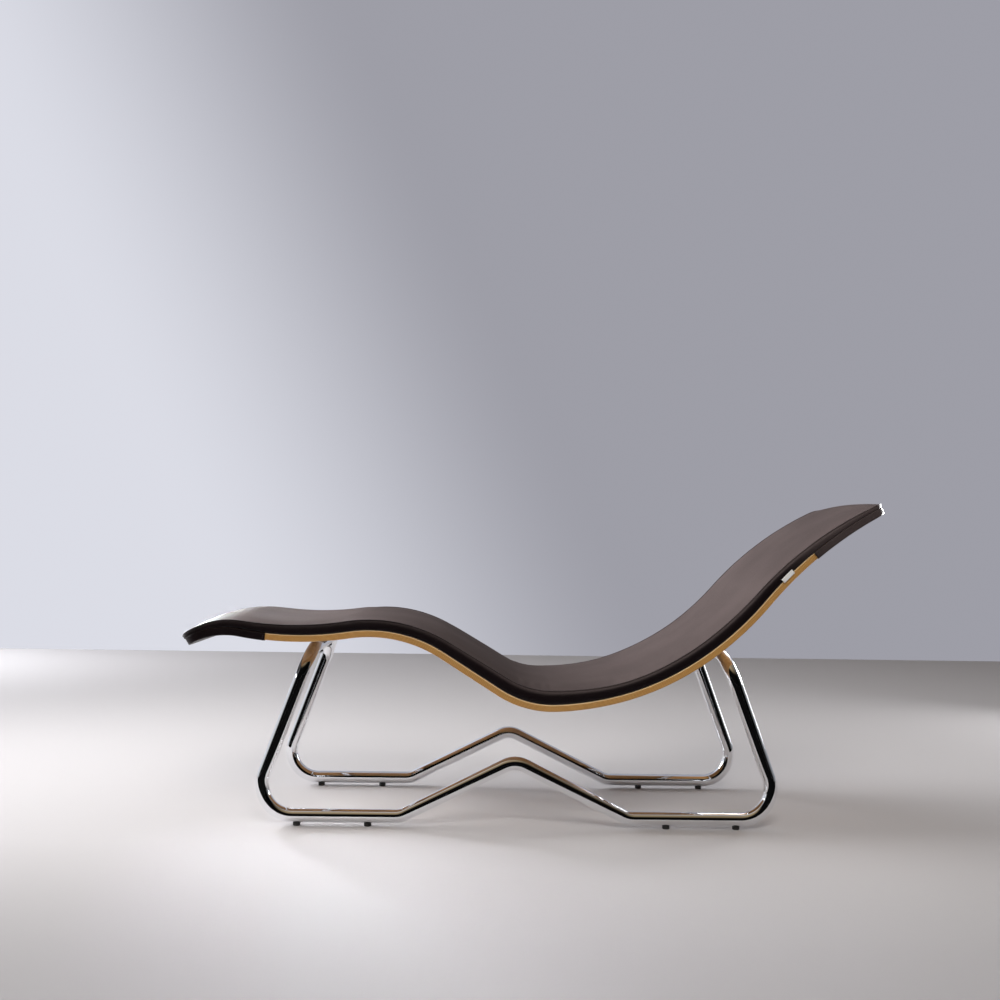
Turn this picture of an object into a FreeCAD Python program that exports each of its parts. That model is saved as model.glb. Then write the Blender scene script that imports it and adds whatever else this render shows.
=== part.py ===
import FreeCAD, Part
import math
import os
from FreeCAD import Vector

# Relaxation lounger: a padded shell of moulded plywood on two bent, chromed tube frames.
# Millimetres and degrees. +X runs from the foot to the head, +Y to the sitter's right, +Z up.
# The origin lies on the floor below the middle of the outline.

# The shell's side profile is the plywood's middle line, foot end to head end: tangent bends, and one straight
# run down the thigh. A crest turns the line downwards and a hollow turns it up.
FOOT_TIP_HEIGHT = 471
FOOT_TIP_SLOPE = 33.0
TOE_CREST_RADIUS = 194
TOE_CREST_ANGLE = 43.3
CALF_HOLLOW_RADIUS = 823
CALF_HOLLOW_ANGLE = 19.3
KNEE_CREST_RADIUS = 349
KNEE_CREST_ANGLE = 41.1
THIGH_RUN = 172
SEAT_HOLLOW_RADIUS = 258
SEAT_HOLLOW_ANGLE = 34.9
BACK_HOLLOW_RADIUS = 762
BACK_HOLLOW_ANGLE = 47.5
HEAD_CREST_RADIUS = 1029
HEAD_CREST_ANGLE = 22.3

# The shell and pad in plan: widths at the pad's fullest, and where the back narrows
SEAT_WIDTH = 650
HEAD_WIDTH_SHARE = 0.908
TAPER_START = 1163
TAPER_LENGTH = 400
CORNER_RADIUS = 36
PLYWOOD_THICKNESS = 18
PLYWOOD_INSET = 5

# The pad's cover and what lies under it
LEATHER = 1.6
LINING = 1.0
TAPE = 1.1
TAPE_WIDTH = 50
TAPE_END_INSET = 60
TAPE_PLACE_SHARES = (0.165, 0.36, 0.565, 0.78)
SOFT_GAP = 0.3
CROWN = 8
FOOT_POCKET_DEPTH = 212
HEAD_POCKET_DEPTH = 224
POCKET_OUTER_INSET = 1.6
SIDE_RADIUS_SHARE = 0.74
SIDE_CENTRE_SHARE = 0.45

# The pad's height at its edge, given at places along the shell line as shares of its length
FOOT_END_PAD = 9
FOOT_PAD = 16
CALF_PAD = 24.5
KNEE_PAD = 26
SEAT_PAD = 34
LOIN_PAD = 28
BACK_PAD = 29
SHOULDER_PAD = 28.5
NECK_PAD = 19.5
HEAD_END_PAD = 8
PAD_HEIGHT_SHARES = ((0, FOOT_END_PAD), (0.06, FOOT_PAD), (0.18, CALF_PAD), (0.30, KNEE_PAD),
                     (0.48, SEAT_PAD), (0.58, LOIN_PAD), (0.68, BACK_PAD), (0.78, SHOULDER_PAD),
                     (0.90, NECK_PAD), (1, HEAD_END_PAD))

# The woven tab on the left side, which hangs from the pad over the plywood's edge
TAB_PLACE = 1700
TAB_LENGTH = 38
TAB_HEIGHT = 15
TAB_THICKNESS = 1.2
TAB_DROP = 5

# The tube frames
TUBE_DIAMETER = 35
TUBE_WALL = 2
FRAME_INSET = 70
LEG_BEND = 80
RUNNER_BEND = 60
LEG_LEAN = 19.8
FRONT_TUBE_PLACE = 322
REAR_TUBE_PLACE = 1467
FRONT_FLOOR_RUN = 392
REAR_FLOOR_RUN = 408
RUNNER_RISE = 146
BUTT_GAP = 0.2
SLEEVE_LENGTH = 60
SLEEVE_SPARE = 2
SLEEVE_WALL = 2.5
SLEEVE_FIT = 0.1

# Floor glides
GLIDE_DIAMETER = 19
GLIDE_HEIGHT = 8
GLIDE_STEM = 8
GLIDE_STEM_REACH = 5.5
GLIDE_FIT = 0.15
GLIDE_EDGE = 1
GLIDE_INSET = 11
GLIDE_SPACING = 183

# How the shell is held down
SADDLE_HEIGHT = 6
SADDLE_LENGTH = 36
SADDLE_WIDTH = 60
SADDLE_GRIP = 13
SADDLE_CORNER = 5
SADDLE_FIT = 0.2
BOLT_SETBACK = 12
BOLT_DIAMETER = 8
BOLT_HOLE = 8.6
BOLT_HEAD_DIAMETER = 14
BOLT_HEAD_HEIGHT = 4.4
BOLT_HEAD_EDGE = 2.5
BOLT_SOCKET = 5
BOLT_SOCKET_DEPTH = 2.5
BOLT_END_DEPTH = 2
WASHER_DIAMETER = 20
WASHER_THICKNESS = 2.5
WASHER_GRIP = 4
TEE_BARREL = 10
TEE_BARREL_LENGTH = 11
TEE_FLANGE = 22
TEE_FLANGE_THICKNESS = 1.5
TEE_BORE = 8.2
TEE_FIT = 0.15

# Working values
HAIR = 0.1
OVERRUN = 20
CHORD_SAG = 0.2
LONGEST_STEP = 62
SHORTEST_STEP = 1.3
CORNER_STEPS = (25, 45, 65, 90)

PLY_FACE = PLYWOOD_THICKNESS / 2
PAD_FOOT = PLY_FACE + SOFT_GAP
TUBE_RADIUS = TUBE_DIAMETER / 2
TUBE_BORE = TUBE_RADIUS - TUBE_WALL
FRAME_Y = SEAT_WIDTH / 2 - FRAME_INSET
JOINT_Y = FRAME_Y - LEG_BEND - SLEEVE_LENGTH / 2 - SLEEVE_SPARE
BOLT_Y = JOINT_Y - SLEEVE_LENGTH / 2 - BOLT_SETBACK
FLOOR_TUBE_HEIGHT = GLIDE_HEIGHT + TUBE_RADIUS
TUBE_OFFSET = PLY_FACE + SADDLE_HEIGHT + TUBE_RADIUS


def shell_stretches():
    """The shell line as stretches, each with its start, length, first point, heading and curvature."""
    x, z, heading, place = 0, FOOT_TIP_HEIGHT, math.radians(FOOT_TIP_SLOPE), 0
    stretches = []

    def add(length, curvature):
        nonlocal x, z, heading, place
        stretches.append((place, length, x, z, heading, curvature))
        x, z = walk(x, z, heading, curvature, length)
        heading += curvature * length
        place += length

    def bend(radius, turn, way):
        add(radius * math.radians(turn), way / radius)

    bend(TOE_CREST_RADIUS, TOE_CREST_ANGLE, -1)
    bend(CALF_HOLLOW_RADIUS, CALF_HOLLOW_ANGLE, 1)
    bend(KNEE_CREST_RADIUS, KNEE_CREST_ANGLE, -1)
    add(THIGH_RUN, 0)
    bend(SEAT_HOLLOW_RADIUS, SEAT_HOLLOW_ANGLE, 1)
    bend(BACK_HOLLOW_RADIUS, BACK_HOLLOW_ANGLE, 1)
    bend(HEAD_CREST_RADIUS, HEAD_CREST_ANGLE, -1)
    return stretches, place


def walk(x, z, heading, curvature, length):
    """The point reached after a length along an arc or a straight."""
    if curvature == 0:
        return x + length * math.cos(heading), z + length * math.sin(heading)
    end = heading + curvature * length
    return (x + (math.sin(end) - math.sin(heading)) / curvature,
            z - (math.cos(end) - math.cos(heading)) / curvature)


SHELL_LINE, SHELL_LENGTH = shell_stretches()


def line_at(place):
    """The shell line's point and heading at a place along it."""
    start, length, x, z, heading, curvature = [s for s in SHELL_LINE if s[0] <= max(place, 0)][-1]
    x, z = walk(x, z, heading, curvature, place - start)
    return x, z, heading + curvature * (place - start)


def smooth_table(table, place):
    """A smooth curve through a table of (share of the shell's length, value)."""
    places = [share * SHELL_LENGTH for share, value in table]
    values = [value for share, value in table]
    last = len(table) - 1
    i = max(k for k in range(last) if places[k] <= max(place, 0))

    def slope(k):
        low, high = max(k - 1, 0), min(k + 1, last)
        return (values[high] - values[low]) / (places[high] - places[low])

    step = places[i + 1] - places[i]
    t = min((place - places[i]) / step, 1)
    rise = values[i + 1] - values[i]
    return (values[i] + step * slope(i) * t * (1 - t) ** 2 - step * slope(i + 1) * t * t * (1 - t)
            + rise * t * t * (3 - 2 * t))


def half_width(place, inset):
    """Half the outline's width at a place, drawn inwards by an inset, with rounded corners at both ends."""
    t = min(max((place - TAPER_START) / TAPER_LENGTH, 0), 1)
    full = SEAT_WIDTH / 2 * (1 - (1 - HEAD_WIDTH_SHARE) * t * t * (3 - 2 * t)) - inset
    corner = CORNER_RADIUS - inset
    short = corner - (min(place, SHELL_LENGTH - place) - inset)
    if short > 0:
        full -= corner - math.sqrt(max(corner ** 2 - short ** 2, 0))
    return full


def pad_top(place):
    """Height of the pad's top edge above the shell line."""
    return PAD_FOOT + smooth_table(PAD_HEIGHT_SHARES, place)


# The outline's middle is the origin, so the shell line is moved there
foot_x, foot_z, foot_heading = line_at(0)
head_x, head_z, head_heading = line_at(SHELL_LENGTH)
POCKET_UNDER = PLY_FACE + SOFT_GAP + LEATHER
LOW_X = foot_x - (pad_top(0) + CROWN) * math.sin(foot_heading)
HIGH_X = head_x + POCKET_UNDER * math.sin(head_heading)
MIDDLE_X = (LOW_X + HIGH_X) / 2


def at(place, y, height):
    """The point at a place along the shell line, across it by y and above it by a height."""
    x, z, heading = line_at(place)
    return Vector(x - MIDDLE_X - height * math.sin(heading), y, z + height * math.cos(heading))


def shell_grid():
    """Places along the shell where sections stand: close enough for bends and corners to stay smooth."""
    marks = {SHELL_LENGTH}
    for start, length, x, z, heading, curvature in SHELL_LINE:
        count = math.ceil(length * max(math.sqrt(abs(curvature) / (8 * CHORD_SAG)), 1 / LONGEST_STEP))
        marks.update(start + length * k / count for k in range(count))
    for angle in CORNER_STEPS:
        reach = CORNER_RADIUS * (1 - math.cos(math.radians(angle)))
        marks.update((reach, SHELL_LENGTH - reach))
    return sorted(marks)


SHELL_GRID = shell_grid()


def loft(start, end, section):
    """A solid through a section at both ends and at every place of the grid between them."""
    marks = [start] + [m for m in SHELL_GRID if start + SHORTEST_STEP < m < end - SHORTEST_STEP] + [end]
    return Part.makeLoft([Part.Wire(section(m)) for m in marks], True, True)


def line(a, b):
    return Part.LineSegment(a, b).toShape()


def arc(a, b, c):
    return Part.Arc(a, b, c).toShape()


def polygon(points):
    return [line(a, b) for a, b in zip(points, points[1:] + points[:1])]


def side_y(place, skin, height):
    """Where the pad's rounded side stands at a height, a skin inside its outer face."""
    tall = pad_top(place) - PAD_FOOT
    radius = SIDE_RADIUS_SHARE * tall - skin
    rise = height - PAD_FOOT - SIDE_CENTRE_SHARE * tall
    return half_width(place, skin) - radius + math.sqrt(radius ** 2 - rise ** 2)


def side_points(place, sign, skin, low, top):
    """Three points up the side, from which an arc is drawn; sign is 1 on the right and -1 on the left."""
    return [at(place, sign * side_y(place, skin, h), h) for h in (low, (low + top) / 2, top)]


def slab(start, end, low, high, inset):
    """A flat layer that follows the shell line between two heights."""
    def section(place):
        w = half_width(place, inset)
        return polygon([at(place, -w, low), at(place, w, low), at(place, w, high), at(place, -w, high)])
    return loft(start, end, section)


def square_to(place):
    """The direction square to the shell, for what stands on it."""
    heading = line_at(place)[2]
    return Vector(-math.sin(heading), 0, math.cos(heading))


def rod(place, y, low, high, radius):
    """A round bar square to the shell between two heights."""
    return Part.makeCylinder(radius, high - low, at(place, y, low), square_to(place))


def plywood_shell():
    shell = slab(PLYWOOD_INSET, SHELL_LENGTH - PLYWOOD_INSET, -PLY_FACE, PLY_FACE, PLYWOOD_INSET)
    flange_floor = PLY_FACE - TEE_FLANGE_THICKNESS - TEE_FIT
    barrel_floor = PLY_FACE - TEE_FLANGE_THICKNESS - TEE_BARREL_LENGTH - TEE_FIT
    for place in (FRONT_TUBE_PLACE, REAR_TUBE_PLACE):
        for y in (-BOLT_Y, BOLT_Y):
            shell = shell.cut(rod(place, y, -PLY_FACE - OVERRUN, PLY_FACE + OVERRUN, BOLT_HOLE / 2))
            shell = shell.cut(rod(place, y, barrel_floor, PLY_FACE + OVERRUN, TEE_BARREL / 2 + TEE_FIT))
            shell = shell.cut(rod(place, y, flange_floor, PLY_FACE + OVERRUN, TEE_FLANGE / 2 + TEE_FIT))
    return shell


TAPE_TOP = PLY_FACE + 2 * TAPE + 2 * SOFT_GAP
LINING_TOP = TAPE_TOP + SOFT_GAP + LINING
END_STACK = LEATHER + SOFT_GAP


def tapes(low):
    """Flat strips across the shell."""
    places = [share * SHELL_LENGTH for share in TAPE_PLACE_SHARES]
    return Part.makeCompound([slab(place, place + TAPE_WIDTH, low, low + TAPE, TAPE_END_INSET)
                              for place in places])


def pad_lining():
    """The cloth that closes the pad underneath, inside its side panels."""
    low, skin = TAPE_TOP + SOFT_GAP, LEATHER + SOFT_GAP

    def section(place):
        w = side_y(place, skin, low)
        return polygon([at(place, y, h) for y, h in ((-w, low), (w, low), (w, LINING_TOP), (-w, LINING_TOP))])
    return loft(END_STACK, SHELL_LENGTH - END_STACK, section)


def foam_core():
    """Crowned foam with full, drawn-in sides."""
    skin = LEATHER + SOFT_GAP
    low = LINING_TOP + SOFT_GAP

    def section(place):
        top = pad_top(place) - skin
        right, left = side_points(place, 1, skin, low, top), side_points(place, -1, skin, low, top)
        return [line(left[0], right[0]), arc(*right), arc(right[2], at(place, 0, top + CROWN), left[2]),
                arc(*reversed(left))]
    return loft(END_STACK + SOFT_GAP, SHELL_LENGTH - END_STACK - SOFT_GAP, section)


def top_panel():
    """The leather over the crown, seam to seam."""
    def section(place):
        top = pad_top(place)
        y = side_y(place, 0, top)
        return [arc(at(place, y, top), at(place, 0, top + CROWN), at(place, -y, top)),
                line(at(place, -y, top), at(place, -y, top - LEATHER)),
                arc(at(place, -y, top - LEATHER), at(place, 0, top - LEATHER + CROWN),
                    at(place, y, top - LEATHER)),
                line(at(place, y, top - LEATHER), at(place, y, top))]
    return loft(END_STACK, SHELL_LENGTH - END_STACK, section)


def side_panel(sign):
    """The rounded leather boxing of one side; sign is 1 on the right and -1 on the left."""
    def section(place):
        top = pad_top(place) - LEATHER - SOFT_GAP
        outer = side_points(place, sign, 0, PAD_FOOT, top)
        inner = side_points(place, sign, LEATHER, PAD_FOOT, top)
        return [arc(*outer), line(outer[2], inner[2]), arc(*reversed(inner)), line(inner[0], outer[0])]
    return loft(END_STACK, SHELL_LENGTH - END_STACK, section)


def pocket(start, end):
    """A channel of leather under one end of the plywood and up past its edges."""
    top, under, inner = PLY_FACE, -POCKET_UNDER, -POCKET_UNDER + LEATHER

    def section(place):
        out, wall = half_width(place, POCKET_OUTER_INSET), half_width(place, POCKET_OUTER_INSET + LEATHER)
        corners = [(-out, under), (out, under), (out, top), (wall, top), (wall, inner), (-wall, inner),
                   (-wall, top), (-out, top)]
        return polygon([at(place, y, h) for y, h in corners])
    return loft(start, end, section)


def end_panel(start, end):
    """The leather that closes one end, from under the plywood to the pad's top."""
    def section(place):
        top = pad_top(place)
        out = half_width(place, POCKET_OUTER_INSET)
        right, left = side_points(place, 1, 0, PAD_FOOT, top), side_points(place, -1, 0, PAD_FOOT, top)
        right_under, left_under = at(place, out, -POCKET_UNDER), at(place, -out, -POCKET_UNDER)
        return [line(left_under, right_under), line(right_under, right[0]), arc(*right),
                arc(right[2], at(place, 0, top + CROWN), left[2]), arc(*reversed(left)),
                line(left[0], left_under)]
    return Part.makeLoft([Part.Wire(section(start)), Part.Wire(section(end))], True, False)


def side_tab():
    """A small woven label that hangs down the left side."""
    def section(place):
        near = -half_width(place, 0) - SOFT_GAP
        low = PLY_FACE - TAB_DROP
        return polygon([at(place, near, low), at(place, near - TAB_THICKNESS, low),
                        at(place, near - TAB_THICKNESS, low + TAB_HEIGHT), at(place, near, low + TAB_HEIGHT)])
    return loft(TAB_PLACE, TAB_PLACE + TAB_LENGTH, section)


FRONT_CENTRE = at(FRONT_TUBE_PLACE, 0, -TUBE_OFFSET)
REAR_CENTRE = at(REAR_TUBE_PLACE, 0, -TUBE_OFFSET)


def frame_corners(y, joint_y):
    """The corners of a side frame's centre line, from the front joint down, along the floor and up again."""
    lean = math.tan(math.radians(LEG_LEAN))
    floor = FLOOR_TUBE_HEIGHT
    front_x = FRONT_CENTRE.x - (FRONT_CENTRE.z - floor) * lean
    rear_x = REAR_CENTRE.x + (REAR_CENTRE.z - floor) * lean
    rise_x, fall_x = front_x + FRONT_FLOOR_RUN, rear_x - REAR_FLOOR_RUN
    return [Vector(FRONT_CENTRE.x, joint_y, FRONT_CENTRE.z), Vector(FRONT_CENTRE.x, y, FRONT_CENTRE.z),
            Vector(front_x, y, floor), Vector(rise_x, y, floor),
            Vector((rise_x + fall_x) / 2, y, floor + RUNNER_RISE),
            Vector(fall_x, y, floor), Vector(rear_x, y, floor),
            Vector(REAR_CENTRE.x, y, REAR_CENTRE.z), Vector(REAR_CENTRE.x, joint_y, REAR_CENTRE.z)]


def bent_path(corners, radii):
    """Straight runs joined by tangent bends, one radius for each inner corner."""
    edges, start = [], corners[0]
    for before, corner, after, radius in zip(corners, corners[1:], corners[2:], radii):
        back, on = (before - corner).normalize(), (after - corner).normalize()
        half = back.getAngle(on) / 2
        inward = (back + on).normalize()
        bend_in, bend_out = corner + back * (radius / math.tan(half)), corner + on * (radius / math.tan(half))
        edges.append(line(start, bend_in))
        edges.append(arc(bend_in, corner + inward * (radius / math.sin(half) - radius), bend_out))
        start = bend_out
    edges.append(line(start, corners[-1]))
    return Part.Wire(edges)


def swept(path, start, direction, radius):
    """A round bar along a path that sets out from a point in a direction."""
    disc = Part.Face(Part.Wire([Part.makeCircle(radius, start, direction)]))
    return path.makePipe(disc)


def glide_places():
    """X of the glides under one side frame."""
    corners = frame_corners(-FRAME_Y, -JOINT_Y)
    tangent = LEG_BEND / math.tan(math.radians(90 - LEG_LEAN) / 2)
    front = corners[2].x + tangent + GLIDE_INSET
    rear = corners[6].x - tangent - GLIDE_INSET
    return [front, front + GLIDE_SPACING, rear - GLIDE_SPACING, rear]


def side_frame(sign):
    corners = frame_corners(sign * FRAME_Y, sign * (JOINT_Y + BUTT_GAP))
    path = bent_path(corners, [LEG_BEND] * 2 + [RUNNER_BEND] * 3 + [LEG_BEND] * 2)
    outward = Vector(0, sign, 0)
    tube = swept(path, corners[0], outward, TUBE_RADIUS).cut(swept(path, corners[0], outward, TUBE_BORE))
    for x in glide_places():
        hole = Part.makeCylinder(GLIDE_STEM / 2 + GLIDE_FIT, FLOOR_TUBE_HEIGHT, Vector(x, sign * FRAME_Y, 0))
        tube = tube.cut(hole)
    return tube


def glide(x, y):
    """A moulded foot whose top hugs the tube and whose stem is pushed through its wall."""
    foot = Part.makeCylinder(GLIDE_DIAMETER / 2, FLOOR_TUBE_HEIGHT, Vector(x, y, 0))
    foot = foot.makeChamfer(GLIDE_EDGE, [e for e in foot.Edges if e.BoundBox.ZMax < GLIDE_EDGE])
    along = Part.makeCylinder(TUBE_RADIUS + GLIDE_FIT, GLIDE_DIAMETER + 2 * OVERRUN,
                              Vector(x - GLIDE_DIAMETER / 2 - OVERRUN, y, FLOOR_TUBE_HEIGHT), Vector(1, 0, 0))
    stem_foot = Vector(x, y, GLIDE_HEIGHT / 2)
    stem = Part.makeCylinder(GLIDE_STEM / 2, GLIDE_HEIGHT / 2 + GLIDE_STEM_REACH, stem_foot)
    return foot.cut(along).fuse(stem).removeSplitter()


def cross_tube(place):
    end, along = at(place, -JOINT_Y, -TUBE_OFFSET), Vector(0, 1, 0)
    tube = Part.makeCylinder(TUBE_RADIUS, 2 * JOINT_Y, end, along)
    tube = tube.cut(Part.makeCylinder(TUBE_BORE, 2 * JOINT_Y, end, along))
    for y in (-BOLT_Y, BOLT_Y):
        tube = tube.cut(rod(place, y, -TUBE_OFFSET - TUBE_DIAMETER, -PLY_FACE, BOLT_HOLE / 2))
    return tube


def joint_sleeves():
    sleeves = []
    for place in (FRONT_TUBE_PLACE, REAR_TUBE_PLACE):
        for sign in (-1, 1):
            end = at(place, sign * JOINT_Y - SLEEVE_LENGTH / 2, -TUBE_OFFSET)
            outer, along = TUBE_BORE - SLEEVE_FIT, Vector(0, 1, 0)
            sleeve = Part.makeCylinder(outer, SLEEVE_LENGTH, end, along)
            sleeves.append(sleeve.cut(Part.makeCylinder(outer - SLEEVE_WALL, SLEEVE_LENGTH, end, along)))
    return Part.makeCompound(sleeves)


def tube_room(place, y, length, fit):
    """The space of a cross tube, with a fit round it, about one bolt."""
    start = at(place, y - length / 2 - OVERRUN, -TUBE_OFFSET)
    return Part.makeCylinder(TUBE_RADIUS + fit, length + 2 * OVERRUN, start, Vector(0, 1, 0))


def saddles(place):
    """Moulded blocks, hollow below to sit on the tube and flat above to carry the plywood."""
    heading = line_at(place)[2]
    blocks = []
    for y in (-BOLT_Y, BOLT_Y):
        depth = SADDLE_HEIGHT + SADDLE_GRIP
        block = Part.makeBox(SADDLE_LENGTH, SADDLE_WIDTH, depth,
                             Vector(-SADDLE_LENGTH / 2, -SADDLE_WIDTH / 2, -depth))
        upright = [e for e in block.Edges if e.BoundBox.ZLength > SADDLE_HEIGHT]
        block = block.makeFillet(SADDLE_CORNER, upright)
        block.rotate(Vector(0, 0, 0), Vector(0, 1, 0), -math.degrees(heading))
        block.translate(at(place, y, -PLY_FACE - SOFT_GAP))
        block = block.cut(tube_room(place, y, SADDLE_WIDTH, SADDLE_FIT))
        blocks.append(block.cut(rod(place, y, -TUBE_OFFSET, 0, BOLT_HOLE / 2)))
    return Part.makeCompound(blocks)


WASHER_UNDER = -TUBE_OFFSET - TUBE_RADIUS - WASHER_THICKNESS
BOLT_PLACES = [(place, y) for place in (FRONT_TUBE_PLACE, REAR_TUBE_PLACE) for y in (-BOLT_Y, BOLT_Y)]


def saddle_washers():
    washers = []
    for place, y in BOLT_PLACES:
        top = WASHER_UNDER + WASHER_THICKNESS + WASHER_GRIP
        washer = rod(place, y, WASHER_UNDER, top, WASHER_DIAMETER / 2)
        washer = washer.cut(tube_room(place, y, WASHER_DIAMETER, SADDLE_FIT))
        washers.append(washer.cut(rod(place, y, WASHER_UNDER - OVERRUN, 0, BOLT_HOLE / 2)))
    return Part.makeCompound(washers)


def shell_bolts():
    """Button-head bolts from below, through tube and saddle into the tee nuts."""
    bolts = []
    reach = BOLT_SOCKET / math.sqrt(3)
    turns = [math.radians(60 * k) for k in range(7)]
    socket = Part.Face(Part.makePolygon([Vector(reach * math.cos(t), reach * math.sin(t), 0) for t in turns]))
    for place, y in BOLT_PLACES:
        head = Part.makeCylinder(BOLT_HEAD_DIAMETER / 2, BOLT_HEAD_HEIGHT)
        head = head.makeFillet(BOLT_HEAD_EDGE, [e for e in head.Edges if e.BoundBox.ZMax < HAIR])
        shank_length = PLY_FACE - BOLT_END_DEPTH - WASHER_UNDER
        bolt = head.fuse(Part.makeCylinder(BOLT_DIAMETER / 2, BOLT_HEAD_HEIGHT + shank_length))
        bolt = bolt.cut(socket.extrude(Vector(0, 0, BOLT_SOCKET_DEPTH)))
        bolt.rotate(Vector(0, 0, 0), Vector(0, 1, 0), -math.degrees(line_at(place)[2]))
        bolt.translate(at(place, y, WASHER_UNDER - BOLT_HEAD_HEIGHT))
        bolts.append(bolt)
    return Part.makeCompound(bolts)


def tee_nuts():
    nuts = []
    for place, y in BOLT_PLACES:
        flange_under = PLY_FACE - TEE_FLANGE_THICKNESS
        nut = rod(place, y, flange_under - TEE_BARREL_LENGTH, PLY_FACE, TEE_BARREL / 2)
        nut = nut.fuse(rod(place, y, flange_under, PLY_FACE, TEE_FLANGE / 2))
        nuts.append(nut.cut(rod(place, y, -PLY_FACE, PLY_FACE + OVERRUN, TEE_BORE / 2)))
    return Part.makeCompound(nuts)


parts = {
    "plywood_shell": plywood_shell(),
    "hook_tapes": tapes(PLY_FACE + SOFT_GAP / 2),
    "loop_tapes": tapes(PLY_FACE + TAPE + SOFT_GAP),
    "pad_lining": pad_lining(),
    "foam_core": foam_core(),
    "top_panel": top_panel(),
    "left_side_panel": side_panel(-1),
    "right_side_panel": side_panel(1),
    "foot_pocket": pocket(END_STACK, FOOT_POCKET_DEPTH),
    "head_pocket": pocket(SHELL_LENGTH - HEAD_POCKET_DEPTH, SHELL_LENGTH - END_STACK),
    "foot_end_panel": end_panel(0, LEATHER),
    "head_end_panel": end_panel(SHELL_LENGTH - LEATHER, SHELL_LENGTH),
    "side_tab": side_tab(),
    "left_frame_tube": side_frame(-1),
    "right_frame_tube": side_frame(1),
    "front_cross_tube": cross_tube(FRONT_TUBE_PLACE),
    "rear_cross_tube": cross_tube(REAR_TUBE_PLACE),
    "joint_sleeves": joint_sleeves(),
    "front_saddles": saddles(FRONT_TUBE_PLACE),
    "rear_saddles": saddles(REAR_TUBE_PLACE),
    "saddle_washers": saddle_washers(),
    "shell_bolts": shell_bolts(),
    "tee_nuts": tee_nuts(),
}
for side, sign in (("left", -1), ("right", 1)):
    for name, x in zip(("front_outer", "front_inner", "rear_inner", "rear_outer"), glide_places()):
        parts[side + "_" + name + "_glide"] = glide(x, sign * FRAME_Y)

os.makedirs("parts", exist_ok=True)
for name, shape in parts.items():
    shape.exportStep("parts/" + name + ".step")
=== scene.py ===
import math
import bpy
import numpy as np
from mathutils import Matrix, Vector


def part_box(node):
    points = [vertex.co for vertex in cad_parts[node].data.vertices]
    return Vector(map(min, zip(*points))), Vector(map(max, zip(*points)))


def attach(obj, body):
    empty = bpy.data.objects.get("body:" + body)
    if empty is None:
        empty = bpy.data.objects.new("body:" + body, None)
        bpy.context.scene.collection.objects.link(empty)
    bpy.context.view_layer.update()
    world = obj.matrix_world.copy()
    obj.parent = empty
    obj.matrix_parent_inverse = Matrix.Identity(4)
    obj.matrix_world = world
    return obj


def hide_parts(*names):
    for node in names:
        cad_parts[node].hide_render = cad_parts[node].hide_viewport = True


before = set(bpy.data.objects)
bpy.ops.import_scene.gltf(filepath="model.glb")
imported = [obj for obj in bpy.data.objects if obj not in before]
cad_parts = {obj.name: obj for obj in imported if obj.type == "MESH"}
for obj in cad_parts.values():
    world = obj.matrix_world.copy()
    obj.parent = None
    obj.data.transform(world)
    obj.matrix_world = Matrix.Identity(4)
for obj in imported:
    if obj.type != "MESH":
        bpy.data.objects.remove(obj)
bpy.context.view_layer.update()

scene = bpy.context.scene
scene.view_settings.view_transform = "Standard"


# The camera: a long lens at standing height beside the lounger, square to its side but for a degree or two.
# It looks along +Y, so the foot end is on the left of the picture.
CAMERA_PLACE = (-0.175, -3.334, 0.729)
CAMERA_YAW = -0.02416
CAMERA_PITCH = 0.03909
CAMERA_ROLL = -0.01538
CAMERA_LENS = 42.3

turn = (Matrix.Rotation(CAMERA_YAW, 4, "Z") @ Matrix.Rotation(CAMERA_PITCH, 4, "X")
        @ Matrix.Rotation(CAMERA_ROLL, 4, "Y") @ Matrix.Rotation(math.pi / 2, 4, "X"))
camera = bpy.data.objects.new("camera", bpy.data.cameras.new("camera"))
camera.data.lens = CAMERA_LENS
camera.matrix_world = Matrix.Translation(CAMERA_PLACE) @ turn
scene.collection.objects.link(camera)
scene.camera = camera


# The room: a pale floor and a pale wall, matt and big enough to fill every view; both carry painted light and
# shade.
# Finishes are written as sums on sockets, and each piece is a mesh of worked-out points.
class Signal:
    """A socket of a node tree, so that shader maths reads as ordinary sums."""

    def __init__(self, tree, socket):
        self.tree, self.socket = tree, socket

    def worked(self, operation, *values):
        """One operation on the values, in their order."""
        node = self.tree.nodes.new("ShaderNodeMath")
        node.operation = operation
        feed(self.tree, node.inputs, dict(enumerate(values)))
        return Signal(self.tree, node.outputs[0])

    def __add__(self, other):
        return self.worked("ADD", self, other)

    def __sub__(self, other):
        return self.worked("SUBTRACT", self, other)

    def __rsub__(self, other):
        return self.worked("SUBTRACT", other, self)

    def __mul__(self, other):
        return self.worked("MULTIPLY", self, other)

    def __abs__(self):
        return self.worked("ABSOLUTE", self)

    def sine(self):
        return self.worked("SINE", self)

    __radd__, __rmul__ = __add__, __mul__


def feed(tree, inputs, values):
    """Each socket gets its link where the value is a signal, and else its plain value."""
    for key, value in values.items():
        if isinstance(value, Signal):
            tree.links.new(value.socket, inputs[key])
        else:
            inputs[key].default_value = value


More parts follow.
